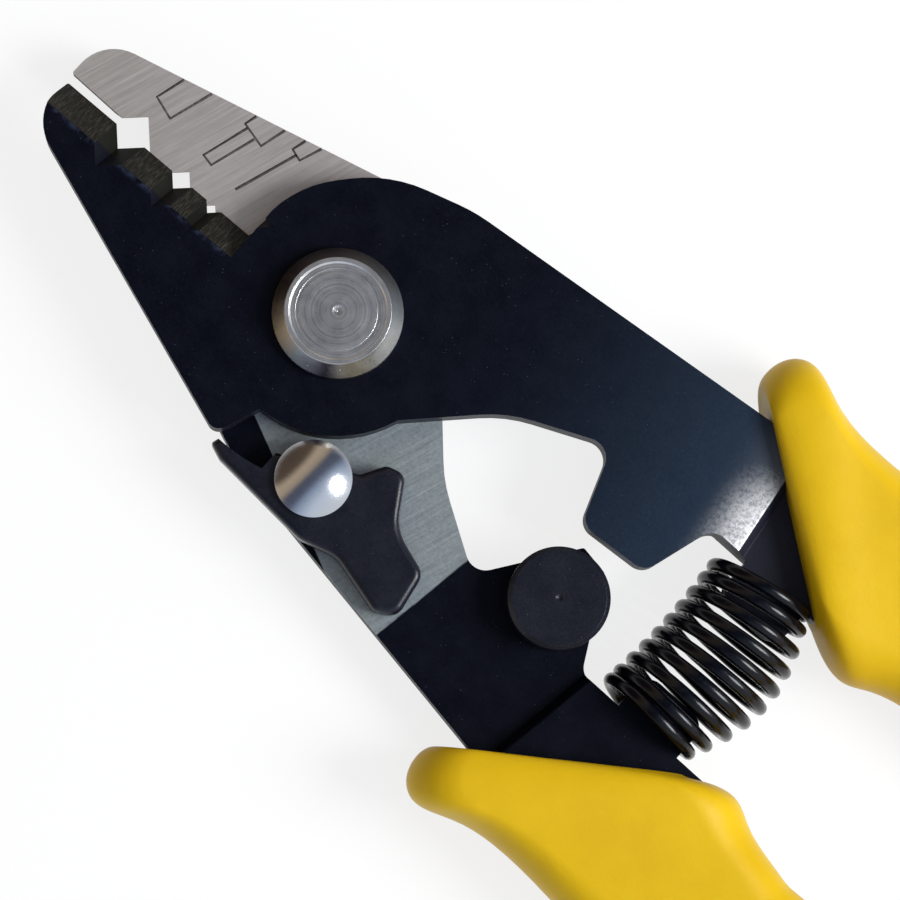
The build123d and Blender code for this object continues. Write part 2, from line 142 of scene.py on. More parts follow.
class Paint:
    """Node tree of one material, written as calculations on the piece's own coordinates."""

    def __init__(self, name: str) -> None:
        """Start an empty material with an output node.

        Args:
            name: name of the material.
        """
        self.material = bpy.data.materials.new(name)
        self.material.use_nodes = True
        self.tree = self.material.node_tree
        self.tree.nodes.clear()

    def node(
        self,
        kind: str,
        settings: Optional[dict[str, object]] = None,
        inputs: Union[dict, Sequence, None] = None,
        output: Union[int, str] = 0,
    ) -> Field:
        """Add a node.

        Args:
            kind: Blender's name of the node type.
            settings: the node's own properties, set first; "stops" fills a colour ramp.
            inputs: values or fields for the sockets, by key or in order.
            output: which output the field reads.

        Returns:
            The field of that output.
        """
        made = self.tree.nodes.new(kind)
        for name, value in (settings or {}).items():
            if name == "stops":
                ramp = made.color_ramp.elements
                while len(ramp) < len(value):
                    ramp.new(0.5)
                for element, (place, colour) in zip(ramp, value):
                    element.position = place
                    element.color = (*colour, 1.0)
            else:
                setattr(made, name, value)
        pairs = inputs.items() if isinstance(inputs, dict) else enumerate(inputs or ())
        for key, value in pairs:
            if isinstance(value, Field):
                self.tree.links.new(value.socket, made.inputs[key])
            elif value is not None:
                made.inputs[key].default_value = value
        return Field(self, made.outputs[output] if len(made.outputs) else None)

    def vector(self, operation: str, first: object, second: object, output: int = 0) -> Field:
        """Vector Math node on two vectors."""
        return self.node("ShaderNodeVectorMath", {"operation": operation}, [first, second], output)

    def place(self) -> Field:
        """Point on the piece in millimetres."""
        at = self.node("ShaderNodeTexCoord", output="Object")
        return self.vector("MULTIPLY", at, (1 / MM, 1 / MM, 1 / MM))

    def axes(self, at: Field) -> tuple[Field, Field, Field]:
        """The three numbers of a vector.

        Args:
            at: the vector.

        Returns:
            Its X, Y and Z.
        """
        split = self.node("ShaderNodeSeparateXYZ", inputs=[at])
        outputs = split.socket.node.outputs
        return Field(self, outputs[0]), Field(self, outputs[1]), Field(self, outputs[2])

    def turned(self, at: Field, centre: Point, degrees: float, stretch: Sequence[float]) -> Field:
        """Point moved to a centre, turned about Z and scaled along the turned axes.

        Args:
            at: the point.
            centre: where the turned axes start.
            degrees: how far the axes are turned, anticlockwise.
            stretch: factors along the turned axes.

        Returns:
            The point in the turned axes.
        """
        moved = self.vector("SUBTRACT", at, (*centre, 0.0))
        settings = {"rotation_type": "Z_AXIS"}
        inputs = {"Vector": moved, "Angle": math.radians(-degrees)}
        spun = self.node("ShaderNodeVectorRotate", settings, inputs)
        return self.vector("MULTIPLY", spun, tuple(stretch))

    def noise(self, at: Field, scale: float, detail: float = 3.0, rough: float = 0.55) -> Field:
        """Soft noise from 0 to 1 with that many features per unit of at.

        Args:
            at: where the noise is read.
            scale: features per unit.
            detail: how many finer layers it has.
            rough: strength of the finer layers.

        Returns:
            The noise.
        """
        inputs = {"Vector": at, "Scale": scale, "Detail": detail, "Roughness": rough}
        return self.node("ShaderNodeTexNoise", None, inputs)

    def flecks(self, at: Field, scale: float, size: float) -> Field:
        """Scattered specks: 1 in a speck, 0 elsewhere.

        Args:
            at: where the specks are read.
            scale: specks per unit.
            size: half the width of a speck, in cells.

        Returns:
            The mask of the specks.
        """
        cells = self.node("ShaderNodeTexVoronoi", None, {"Vector": at, "Scale": scale})
        return cells.rise(size, size * 0.4)

    def mix(self, share: Number, first: object, second: object) -> Field:
        """Colour between two colours.

        Args:
            share: 0 for the first colour, 1 for the second.
            first: a colour or a field of colours.
            second: another.

        Returns:
            The mixed colour.
        """
        wide = [c if isinstance(c, Field) else (*c, 1.0) for c in (first, second)]
        inputs = {0: share, 6: wide[0], 7: wide[1]}
        return self.node("ShaderNodeMix", {"data_type": "RGBA"}, inputs, 2)

    def shade(self, colour: Field, level: Number) -> Field:
        """Colour made lighter or darker by a factor.

        Args:
            colour: the colour.
            level: the factor, 1 for no change.

        Returns:
            The shaded colour.
        """
        return self.node(
            "ShaderNodeVectorMath", {"operation": "SCALE"}, {"Vector": colour, "Scale": level}
        )

    def bump(self, height: Field, depth: float) -> Field:
        """Normal of a relief whose height runs from 0 to 1, that many millimetres deep."""
        return self.node("ShaderNodeBump", None, {"Height": height, "Distance": depth * MM})

    def finish(self, **sockets: object) -> bpy.types.Material:
        """Close the material with its surface.

        Args:
            sockets: values or fields of the Principled sockets, with _ for the spaces.

        Returns:
            The material.
        """
        inputs = {}
        for name, value in sockets.items():
            named = name.replace("_", " ")
            plain = named == "Base Color" and isinstance(value, tuple)
            inputs[named] = (*value, 1.0) if plain else value
        surface = self.node("ShaderNodeBsdfPrincipled", None, inputs)
        self.node("ShaderNodeOutputMaterial", None, {"Surface": surface})
        return self.material


class Sky(Paint):
    """Node tree of the world, written in the same way."""

    def __init__(self, name: str) -> None:
        """Start an empty world and make it the scene's.

        Args:
            name: name of the world.
        """
        world = bpy.data.worlds.new(name)
        world.use_nodes = True
        bpy.context.scene.world = world
        self.tree = world.node_tree
        self.tree.nodes.clear()

    def close(self, colour: Field) -> None:
        """Shine a colour from every direction."""
        back = self.node("ShaderNodeBackground", None, {"Color": colour})
        self.node("ShaderNodeOutputWorld", None, {"Surface": back})


@dataclass(frozen=True)
class BevelPlane:
    """Sloping ground face of a jaw: a point on it and its outward direction."""

    point: tuple[float, float, float]
    normal: tuple[float, float, float]
    root: float
    depth: float


@dataclass(frozen=True)
class RubbedSheenPatch:
    """Place beside the pressed step where handling has rubbed the black off, with a painted highlight on the
    bend; it also bounds the painted sheen.

    Places are along a handle from the pivot and outwards from its middle line.
    """

    splay: float
    level: float
    step: float
    fade: float
    inner: float
    outer: float
    spread: float = 2.4
    faint: float = 0.06
    edge: float = 0.05


@dataclass(frozen=True)
class BlackOxide:
    """Blackened steel with a satin sheen, faint mottling and pale specks."""

    name: str
    tone: Colour = (0.0008, 0.0014, 0.0050)
    worn: Colour = (0.0026, 0.0036, 0.0090)
    speck: Colour = (0.08, 0.09, 0.13)
    rough: float = 0.44
    sheen: float = 0.08
    relief_depth: float = 0.012

    def make(self) -> bpy.types.Material:
        """Mix the blackened skin alone, without bare metal.

        Returns:
            The material.
        """
        paint = Paint(self.name)
        colour, rough, relief = self.layers(paint, paint.place())
        return paint.finish(
            Base_Color=colour,
            Roughness=rough,
            Specular_IOR_Level=self.sheen,
            Normal=paint.bump(relief, self.relief_depth),
        )

    def layers(self, paint: Paint, at: Field) -> tuple[Field, Field, Field]:
        """Colour, roughness and relief of the blackened skin.

        Args:
            paint: the material's tree.
            at: point on the piece in millimetres.

        Returns:
            The three fields.
        """
        cloud = paint.noise(at, 0.35, 4.0, 0.6)
        grain = paint.noise(at, 4.5, 2.0, 0.6)
        specks = paint.flecks(at, 1.9, 0.085) * paint.noise(at, 0.5, 1.0).rise(0.45, 0.6)
        colour = paint.mix((cloud * 0.6 + grain * 0.5).rise(0.35, 0.75), self.tone, self.worn)
        colour = paint.mix(specks, colour, self.speck)
        rough = self.rough + (cloud - 0.5) * 0.16 + (grain - 0.5) * 0.10
        relief = grain * 0.7 + cloud * 0.3
        return colour, rough, relief


@dataclass(frozen=True)
class LeverSteel:
    """Lever blank: blackened outside, ground bare on its lap face and dark-ground on its bevel, with painted
    sheen and highlights.
    """

    name: str
    lap_level: float
    lap_line: tuple[Point, Point]
    bevel: BevelPlane
    skin: BlackOxide
    patch: Optional[RubbedSheenPatch] = None
    covered: Optional[tuple[Point, Point]] = None
    bare: Colour = (0.56, 0.53, 0.50)
    bare_dull: Colour = (0.33, 0.37, 0.375)
    ground_dark: Colour = (0.014, 0.0135, 0.010)
    ground_line: Colour = (0.080, 0.074, 0.062)
    notch: Colour = (0.0065, 0.0065, 0.0045)
    # painted highlight on the burr beside the ground slope
    burr_highlight: Colour = (0.018, 0.024, 0.048)
    # rubbed bare metal with a painted highlight of the bend
    rubbed: Colour = (0.95, 0.955, 0.96)
    painted_sheen: Colour = (0.022, 0.040, 0.070)
    # painted sheen on the tang beyond the step
    tang: Colour = (0.024, 0.028, 0.044)
    wall_painted_light: Colour = (0.018, 0.017, 0.026)
    brush_turn: float = 72.0
    brush_stretch: tuple[float, float, float] = (0.10, 4.2, 1.0)
    fine_stretch: tuple[float, float, float] = (0.25, 14.0, 1.0)
    cut_turn: float = 96.0
    cut_stretch: tuple[float, float, float] = (0.30, 7.5, 1.0)
    dull_start: float = 6.0
    dull_end: float = -3.0
    lap_rough: float = 0.44
    slope_rough: float = 0.46
    relief_depth: float = 0.014

    def make(self) -> bpy.types.Material:
        """Mix the blackened skin with the bare, ground and rubbed places, and with painted sheen and
        highlights.

        Returns:
            The material.
        """
        paint = Paint(self.name)
        at = paint.place()
        x, _, z = paint.axes(at)
        colour, rough, relief = self.skin.layers(paint, at)

        face = abs(z - self.lap_level).rise(0.09, 0.05)
        lap = face * self._inside(paint, at)
        brushed = paint.noise(paint.turned(at, (0, 0), self.brush_turn, self.brush_stretch), 1.0, 3.0, 0.7)
        fine = paint.noise(paint.turned(at, (0, 0), self.brush_turn, self.fine_stretch), 1.0, 2.0, 0.6)
        streak = (brushed - 0.5) * 0.9 + (fine - 0.5) * 0.7
        dull = x.rise(self.dull_start, self.dull_end)
        mottle = paint.noise(at, 0.9, 4.0, 0.65)
        grit = paint.noise(at, 3.6, 3.0, 0.7)
        bare = paint.mix(dull, self.bare, self.bare_dull)
        uneven = streak * 0.45 + (mottle - 0.5) * 0.12 + dull * (grit - 0.5) * 0.7
        bare = paint.shade(bare, 1.0 + uneven)
        if self.covered is not None:
            lap = lap * self._uncovered(paint, at, self.covered)

        slope, walls, burr_highlight = self._bevel(paint, at)
        walls = walls * (1.0 - face)
        cuts = paint.noise(paint.turned(at, (0, 0), self.cut_turn, self.cut_stretch), 1.0, 3.0, 0.75)
        dark = paint.mix(cuts.rise(0.42, 0.8), self.ground_dark, self.ground_line)

        if self.patch is not None:
            # painted sheen: the black made lighter towards the handle and on the tang beyond the step
            painted_sheen, tang = self._painted_sheen(paint, at, self.patch)
            colour = paint.mix(painted_sheen * (0.4 + grit * 0.6), colour, self.painted_sheen)
            colour = paint.mix(tang * (0.4 + grit * 0.6), colour, self.tang)
            # painted light: the front lever's side walls behind the jaw made lighter, as if lit
            side = abs(z - (self.lap_level + self.patch.level) * 0.5)
            half = (self.patch.level - self.lap_level) * 0.5
            side = side.rise(half - 0.1, half - 0.2) * mottle.rise(0.3, 0.7)
            behind = x.rise(self.bevel.root, self.bevel.root - 1.0)
            colour = paint.mix(side * behind, colour, self.wall_painted_light)
        # painted highlight along the burr beside the ground slope
        colour = paint.mix(burr_highlight * mottle.rise(0.42, 0.62), colour, self.burr_highlight)
        colour = paint.mix(lap, colour, bare)
        colour = paint.mix(slope, colour, dark)
        colour = paint.mix(walls, colour, self.notch)
        lap_rough = self.lap_rough + streak * 0.2
        rough = rough + lap * (lap_rough - rough) + slope * (self.slope_rough - rough)
        relief = relief * (1.0 - lap) + lap * (0.5 + streak * 0.5)
        relief = relief * (1.0 - slope) + slope * cuts
        metallic = (lap * 0.80).larger(slope * 0.55)
        if self.patch is not None:
            # rubbed bare metal beside the step, with a painted highlight on the bend there
            rub = self._rubbed_sheen(paint, at, self.patch) * (1.0 - lap)
            colour = paint.mix(rub, colour, self.rubbed)
            metallic = metallic.larger(rub * 0.25)
        return paint.finish(
            Base_Color=colour,
            Roughness=rough,
            Metallic=metallic,
            Specular_IOR_Level=self.skin.sheen,
            Normal=paint.bump(relief, self.relief_depth),
        )

    def _uncovered(self, paint: Paint, at: Field, line: tuple[Point, Point]) -> Field:
        """0 on the strip beside the heel that the latch nose keeps black.

        Args:
            paint: the material's tree.
            at: point on the piece in millimetres.
            line: two points of the strip's edge, with the strip on its left.

        Returns:
            The mask of the rest of the lap face.
        """
        (ax, ay), (bx, by) = line
        along = Vector((bx - ax, by - ay)).normalized()
        offset = paint.vector("SUBTRACT", at, (ax, ay, 0.0))
        reach = paint.vector("DOT_PRODUCT", offset, (along.y, -along.x, 0.0), 1)
        x, y, _ = paint.axes(at)
        far_off = x.rise(5.0, 6.0).larger(y.rise(0.0, -1.0))
        return reach.rise(-0.06, 0.06).larger(far_off)

    def _inside(self, paint: Paint, at: Field) -> Field:
        """1 on the jaw side of the line where the grinding stops.

        Args:
            paint: the material's tree.
            at: point on the piece in millimetres.

        Returns:
            The mask.
        """
        (ax, ay), (bx, by) = self.lap_line
        along = Vector((bx - ax, by - ay)).normalized()
        normal = Vector((along.y, -along.x))
        normal = normal if normal.x > 0 else -normal
        offset = paint.vector("SUBTRACT", at, (ax, ay, 0.0))
        reach = paint.vector("DOT_PRODUCT", offset, (normal.x, normal.y, 0.0), 1)
        ragged = paint.noise(at, 0.6, 2.0, 0.5)
        return (reach + (ragged - 0.5) * 0.2).rise(-0.12, 0.12)

    def _bevel(self, paint: Paint, at: Field) -> tuple[Field, Field, Field]:
        """Masks of the sloping ground face, of the notch walls and of the painted highlight beside the
        slope.

        Args:
            paint: the material's tree.
            at: point on the piece in millimetres.

        Returns:
            The three masks.
        """
        x, y, z = paint.axes(at)
        offset = paint.vector("SUBTRACT", at, self.bevel.point)
        reach = paint.vector("DOT_PRODUCT", offset, self.bevel.normal, 1)
        out = abs(z - self.bevel.point[2])
        jaw = x.rise(self.bevel.root - 0.1, self.bevel.root + 0.1)
        slope = abs(reach).rise(0.06, 0.03)
        inward = 1.0 if self.bevel.normal[1] < 0 else -1.0
        walls = reach.rise(-0.03, -0.06) * (y * inward).rise(3.0, 2.9)
        walls = walls * out.rise(self.bevel.depth, self.bevel.depth - 0.1)
        burr_highlight = reach.rise(-0.5, -0.1) * out.rise(self.bevel.depth - 0.1, self.bevel.depth)
        return slope * jaw, walls * jaw, burr_highlight * jaw

    def _along(self, paint: Paint, at: Field, patch: RubbedSheenPatch) -> tuple[Field, Field]:
        """Place along the handle from the pivot, and outwards from its middle line.

        Args:
            paint: the material's tree.
            at: point on the piece in millimetres.
            patch: the rubbed patch of that handle.

        Returns:
            The two lengths.
        """
        turn = math.radians(patch.splay)
        along = paint.vector("DOT_PRODUCT", at, (-math.cos(turn), -math.sin(turn), 0.0), 1)
        out = paint.vector("DOT_PRODUCT", at, (math.sin(turn), -math.cos(turn), 0.0), 1)
        return along, out

    def _painted_sheen(self, paint: Paint, at: Field, patch: RubbedSheenPatch) -> tuple[Field, Field]:
        """Painted sheen that grows towards the handle, and the even painted sheen of the tang beyond the
        step.

        Args:
            paint: the material's tree.
            at: point on the piece in millimetres.
            patch: the rubbed patch at the step.

        Returns:
            The two masks.
        """
        along, _ = self._along(paint, at, patch)
        grown = along.rise(2.0, patch.step + 4.0)
        before = along.rise(patch.step + patch.edge, patch.step)
        beyond = along.rise(patch.step, patch.step + patch.edge)
        return grown * grown * before, beyond

    def _rubbed_sheen(self, paint: Paint, at: Field, patch: RubbedSheenPatch) -> Field:
        """Share of bare metal and painted highlight in the rubbed patch.

        Args:
            paint: the material's tree.
            at: point on the piece in millimetres.
            patch: the patch.

        Returns:
            The share, from 0 to 1.
        """
        along, out = self._along(paint, at, patch)
        _, _, z = paint.axes(at)
        before = along.rise(patch.step + patch.edge, patch.step)
        near = along.rise(patch.step - patch.fade, patch.step) * before
        far = along.rise(patch.step - patch.fade * patch.spread, patch.step) * patch.faint
        main = near * near * out.rise(patch.outer, patch.inner)
        grit = paint.noise(at, 2.6, 4.0, 0.75)
        bright = main * (0.35 + grit.rise(0.3, 0.65) * 0.65)
        return bright.larger(far * near) * z.rise(patch.level - 0.3, patch.level - 0.1)


@dataclass(frozen=True)
class TurnedSteel:
    """Bright steel with the fine rings that a lathe leaves round a centre.

    The rim's painted reflection runs anticlockwise, in shares of a turn from the picture's right side.
    """

    name: str
    centre: Point = (0.0, 0.0)
    tone: Colour = (0.74, 0.74, 0.73)
    dark: Colour = (0.56, 0.555, 0.54)
    rough: float = 0.32
    ring_pitch: float = 5.0
    ring_depth: float = 0.012
    rim_start: float = 5.05
    rim_turn: float = 41.967
    # painted reflection round the rim, with a painted highlight at 0.87
    rim: tuple[tuple[float, Colour], ...] = (
        (0.00, (0.50, 0.54, 0.56)),
        (0.12, (0.25, 0.24, 0.24)),
        (0.25, (0.09, 0.075, 0.075)),
        (0.38, (0.045, 0.030, 0.030)),
        (0.47, (0.14, 0.10, 0.075)),
        (0.56, (0.52, 0.41, 0.28)),
        (0.63, (0.30, 0.34, 0.39)),
        (0.72, (0.06, 0.05, 0.07)),
        (0.80, (0.60, 0.54, 0.42)),
        (0.87, (1.0, 1.0, 0.94)),
        (0.95, (0.72, 0.74, 0.74)),
        (1.00, (0.50, 0.54, 0.56)),
    )

    def make(self) -> bpy.types.Material:
        """Mix the rings of the face with the painted reflection of the rim and painted glints.

        Returns:
            The material.
        """
        paint = Paint(self.name)
        at = paint.place()
        offset = paint.vector("SUBTRACT", at, (*self.centre, 0.0))
        flat = paint.vector("MULTIPLY", offset, (1.0, 1.0, 0.0))
        radius = paint.node("ShaderNodeVectorMath", {"operation": "LENGTH"}, [flat], 1)
        _, _, z = paint.axes(at)
        rings = self._rings(paint, radius + z * 0.7, self.ring_pitch)
        coarse = self._rings(paint, radius + z * 0.7, self.ring_pitch * 0.35)
        stain = paint.noise(at, 0.55, 4.0, 0.6)
        colour = paint.mix((rings * 0.4 + stain * 0.6).rise(0.25, 0.85), self.dark, self.tone)
        on_rim = radius.rise(self.rim_start, self.rim_start + 0.12)
        # painted reflection on the rim
        colour = paint.mix(on_rim, colour, self._rim_reflection(paint, at, stain))
        rough = self.rough + (rings - 0.5) * 0.22 + (stain - 0.5) * 0.15
        relief = rings * 0.55 + coarse * 0.45
        glint = (paint.noise(at, 3.2, 3.0, 0.8).rise(0.60, 0.72) * rings).rise(0.25, 0.5)
        colour = paint.mix(glint * self._lit_side(paint, flat), colour, (1.0, 1.0, 0.96))
        rough = rough - glint * 0.18
        return paint.finish(
            Base_Color=colour, Roughness=rough, Metallic=1.0, Normal=paint.bump(relief, self.ring_depth)
        )

    def _lit_side(self, paint: Paint, flat: Field) -> Field:
        """1 towards the picture's lower right, where the rings glitter.

        Args:
            paint: the material's tree.
            flat: place on the head, from its centre.

        Returns:
            The mask, from 0.2 to 1.
        """
        turn = math.radians(self.rim_turn - 45.0)
        reach = paint.vector("DOT_PRODUCT", flat, (-math.cos(turn), -math.sin(turn), 0.0), 1)
        return reach.rise(-0.5, 3.5) * 0.8 + 0.2

    def _rim_reflection(self, paint: Paint, at: Field, stain: Field) -> Field:
        """Painted reflection on the sloping rim, which changes round the head.

        Args:
            paint: the material's tree.
            at: point on the piece in millimetres.
            stain: noise that makes the tones uneven.

        Returns:
            The rim's painted reflection.
        """
        spun = paint.turned(at, self.centre, self.rim_turn, (1.0, 1.0, 1.0))
        x, y, _ = paint.axes(spun)
        share = paint.node("ShaderNodeMath", {"operation": "ARCTAN2"}, [y, x]) * (0.5 / math.pi) + 0.5
        return paint.node("ShaderNodeValToRGB", {"stops": self.rim}, [share + (stain - 0.5) * 0.06])

    def _rings(self, paint: Paint, radius: Field, pitch: float) -> Field:
        """Noise that changes only with the distance from the centre."""
        inputs = {"W": radius, "Scale": pitch, "Detail": 3.0, "Roughness": 0.7}
        return paint.node("ShaderNodeTexNoise", {"noise_dimensions": "1D"}, inputs)


@dataclass(frozen=True)
class PolishedDome:
    """Polished steel with faint rubbing marks and a few dark spots."""

    name: str
    tone: Colour = (0.55, 0.555, 0.58)
    spot: Colour = (0.20, 0.16, 0.13)
    rough: float = 0.17

    def make(self) -> bpy.types.Material:
        """Mix the polish with its rubbing marks and spots.

        Returns:
            The material.
        """
        paint = Paint(self.name)
        at = paint.place()
        rub = paint.noise(paint.turned(at, (0, 0), 30.0, (0.7, 8.0, 1.0)), 1.0, 3.0, 0.7)
        spots = paint.flecks(at, 2.2, 0.12) * 0.5
        colour = paint.mix(spots, self.tone, self.spot)
        rough = self.rough + (rub - 0.5) * 0.18
        return paint.finish(Base_Color=colour, Roughness=rough, Metallic=1.0, Normal=paint.bump(rub, 0.004))


@dataclass(frozen=True)
class SpringSteel:
    """Oiled black spring wire with drawing streaks."""

    name: str
    tone: Colour = (0.0010, 0.0012, 0.0030)
    rub: Colour = (0.006, 0.006, 0.009)
    rough: float = 0.20

    def make(self) -> bpy.types.Material:
        """Mix the black of the wire with its rubbed patches.

        Returns:
            The material.
        """
        paint = Paint(self.name)
        at = paint.place()
        patch = paint.noise(at, 1.8, 3.0, 0.6)
        colour = paint.mix(patch.rise(0.5, 0.8), self.tone, self.rub)
        rough = self.rough + (patch - 0.5) * 0.25
        grain = paint.noise(at, 9.0, 2.0, 0.6)
        return paint.finish(
            Base_Color=colour, Roughness=rough, Specular_IOR_Level=0.26, Normal=paint.bump(grain, 0.003)
        )


@dataclass(frozen=True)
class YellowVinyl:
    """Dipped or moulded yellow vinyl: waxy, faintly pebbled, a little deeper where it is handled."""

    name: str
    tone: Colour = (0.64, 0.410, 0.006)
    deep: Colour = (0.60, 0.375, 0.005)
    dust: Colour = (0.40, 0.26, 0.02)
    rough: float = 0.42

    def make(self) -> bpy.types.Material:
        """Mix the vinyl with its deeper clouds, dust and pebbled relief.

        Returns:
            The material.
        """
        paint = Paint(self.name)
        at = paint.place()
        cloud = paint.noise(at, 0.09, 4.0, 0.6)
        pebble = paint.noise(at, 3.2, 3.0, 0.55)
        ripple = paint.noise(at, 0.35, 2.0, 0.5)
        colour = paint.mix(cloud.rise(0.35, 0.7), self.tone, self.deep)
        colour = paint.mix(paint.flecks(at, 0.9, 0.05) * 0.5, colour, self.dust)
        rough = self.rough + (cloud - 0.5) * 0.12 + (pebble - 0.5) * 0.12
        relief = pebble * 0.25 + ripple * 0.75
        return paint.finish(
            Base_Color=colour,
            Roughness=rough,
            Subsurface_Weight=0.12,
            Subsurface_Radius=(1.0, 0.55, 0.15),
            Subsurface_Scale=0.0012,
            Specular_IOR_Level=0.15,
            Normal=paint.bump(relief, 0.06),
        )


@dataclass(frozen=True)
class EtchedInk:
    """Dark oxide in the bottom of an etched line."""

    name: str
    tone: Colour = (0.045, 0.036, 0.031)
    thin: Colour = (0.13, 0.11, 0.10)

    def make(self) -> bpy.types.Material:
        """Mix the dark oxide with its thin places.

        Returns:
            The material.
        """
        paint = Paint(self.name)
        fade = paint.noise(paint.place(), 2.4, 3.0, 0.65)
        colour = paint.mix(fade.rise(0.45, 0.8), self.tone, self.thin)
        return paint.finish(Base_Color=colour, Roughness=0.6 + fade * 0.2)


class Bench:
    """Shared steps that turn CAD nodes and node trees into finished pieces."""

    @staticmethod
    def merged_copy(node: str, name: str) -> bpy.types.Object:
        """A copy of a CAD node with its loose triangles joined into one skin.

        Args:
            node: name of the CAD node.
            name: name of the copy.

        Returns:
            The copy.
        """
        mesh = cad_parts[node].data.copy()
        mesh.name = name
        mesh.materials.clear()
        work = bmesh.new()
        work.from_mesh(mesh)
        bmesh.ops.remove_doubles(work, verts=work.verts, dist=0.002 * MM)
        bmesh.ops.dissolve_degenerate(work, edges=work.edges, dist=0.001 * MM)
        work.to_mesh(mesh)
        work.free()
        if "custom_normal" in mesh.attributes:
            mesh.attributes.remove(mesh.attributes["custom_normal"])
        piece = bpy.data.objects.new(name, mesh)
        bpy.context.scene.collection.objects.link(piece)
        return piece

    @staticmethod
    def soften(piece: bpy.types.Object, crease: float) -> None:
        """Shade smoothly, with sharp edges where faces meet at more than crease degrees."""
        piece.data.shade_smooth()
        piece.data.set_sharp_from_angle(angle=math.radians(crease))

    @staticmethod
    def baked(piece: bpy.types.Object, name: str) -> bpy.types.Object:
        """Turn a piece with live modifiers into a plain mesh piece of that name.

        Args:
            piece: the piece, which is removed.
            name: name of the plain piece.

        Returns:
            The plain piece.
        """
        bpy.context.view_layer.update()
        graph = bpy.context.evaluated_depsgraph_get()
        mesh = bpy.data.meshes.new_from_object(piece.evaluated_get(graph))
        old = piece.data
        bpy.data.objects.remove(piece)
        if isinstance(old, bpy.types.Mesh) and old.users == 0:
            bpy.data.meshes.remove(old)
        mesh.name = name
        plain = bpy.data.objects.new(name, mesh)
        bpy.context.scene.collection.objects.link(plain)
        return plain

    @staticmethod
    def broken_edges(piece: bpy.types.Object, width: float, crease: float) -> bpy.types.Object:
        """Break the sharp edges with a narrow rounded chamfer.

        Args:
            piece: the piece, which is replaced.
            width: width of the chamfer.
            crease: least angle between the faces of a sharp edge, in degrees.

        Returns:
            The piece with its edges broken.
        """
        modifier = piece.modifiers.new("edge break", "BEVEL")
        modifier.width = width * MM
        modifier.segments = 2
        modifier.limit_method = "ANGLE"
        modifier.angle_limit = math.radians(crease)
        modifier.use_clamp_overlap = True
        modifier.harden_normals = True
        return Bench.baked(piece, piece.name)

    @staticmethod
    def wear(piece: bpy.types.Object, material: bpy.types.Material) -> None:
        """Give every face of a piece one material."""
        piece.data.materials.clear()
        piece.data.materials.append(material)

    @staticmethod
    def settle(piece: bpy.types.Object, body: Body, slot: Slot, *nodes: str) -> None:
        """Fix a finished piece to its body and hide the CAD nodes that it stands for.

        Args:
            piece: the finished piece.
            body: the body that it rides.
            slot: its material slot; not used.
            nodes: names of the CAD nodes that it replaces.
        """
        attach(piece, body.value)
        if nodes:
            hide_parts(*nodes)
        LOG.info("%s rides %s, %d faces", piece.name, body.value, len(piece.data.polygons))


class Tree:
    """Geometry node tree with named inputs."""

    def __init__(self, name: str) -> None:
        """Start a tree with one geometry output.

        Args:
            name: name of the tree.
        """
        self.group = bpy.data.node_groups.new(name, "GeometryNodeTree")
        self.group.interface.new_socket("Geometry", in_out="OUTPUT", socket_type="NodeSocketGeometry")
        self.entry = self.group.nodes.new("NodeGroupInput")
        self.names: dict[str, str] = {}

    def given(self, name: str, kind: str = "NodeSocketFloat") -> None:
        """Declare a named input."""
        socket = self.group.interface.new_socket(name, in_out="INPUT", socket_type=kind)
        self.names[name] = socket.identifier

    def take(self, name: str) -> bpy.types.NodeSocket:
        """Socket of a named input."""
        return next(s for s in self.entry.outputs if s.identifier == self.names[name])

    def node(
        self,
        kind: str,
        settings: Optional[dict[str, object]] = None,
        inputs: Union[dict, Sequence, None] = None,
    ) -> bpy.types.Node:
        """Add a node, set its properties, then its sockets from values or other sockets.

        Args:
            kind: Blender's name of the node type.
            settings: the node's own properties.
            inputs: values or sockets, by key or in order.

        Returns:
            The node.
        """
        made = self.group.nodes.new(kind)
        for name, value in (settings or {}).items():
            setattr(made, name, value)
        pairs = inputs.items() if isinstance(inputs, dict) else enumerate(inputs or ())
        for key, value in pairs:
            if isinstance(value, bpy.types.NodeSocket):
                self.group.links.new(value, made.inputs[key])
            elif value is not None:
                made.inputs[key].default_value = value
        return made

    def maths(self, operation: str, *values: object) -> bpy.types.NodeSocket:
        """Output of a Math node."""
        return self.node("ShaderNodeMath", {"operation": operation}, values).outputs[0]

    def close(self, geometry: bpy.types.NodeSocket, material: bpy.types.Material) -> None:
        """End the tree in Realize Instances and Set Material.

        Args:
            geometry: socket of the finished geometry.
            material: its material.
        """
        real = self.node("GeometryNodeRealizeInstances", None, {0: geometry})
        dressed = self.node("GeometryNodeSetMaterial", None, {0: real.outputs[0], "Material": material})
        self.node("NodeGroupOutput", None, {0: dressed.outputs[0]})

    def grow(self, name: str, seed: bpy.types.Object, values: dict[str, object]) -> bpy.types.Object:
        """Run the tree on an object with these input values and keep the result as a plain mesh.

        Args:
            name: name of the result.
            seed: the object that the tree runs on, which is removed.
            values: the tree's inputs by name.

        Returns:
            The plain piece.
        """
        modifier = seed.modifiers.new(self.group.name, "NODES")
        modifier.node_group = self.group
        for key, value in values.items():
            modifier[self.names[key]] = value
        return Bench.baked(seed, name)


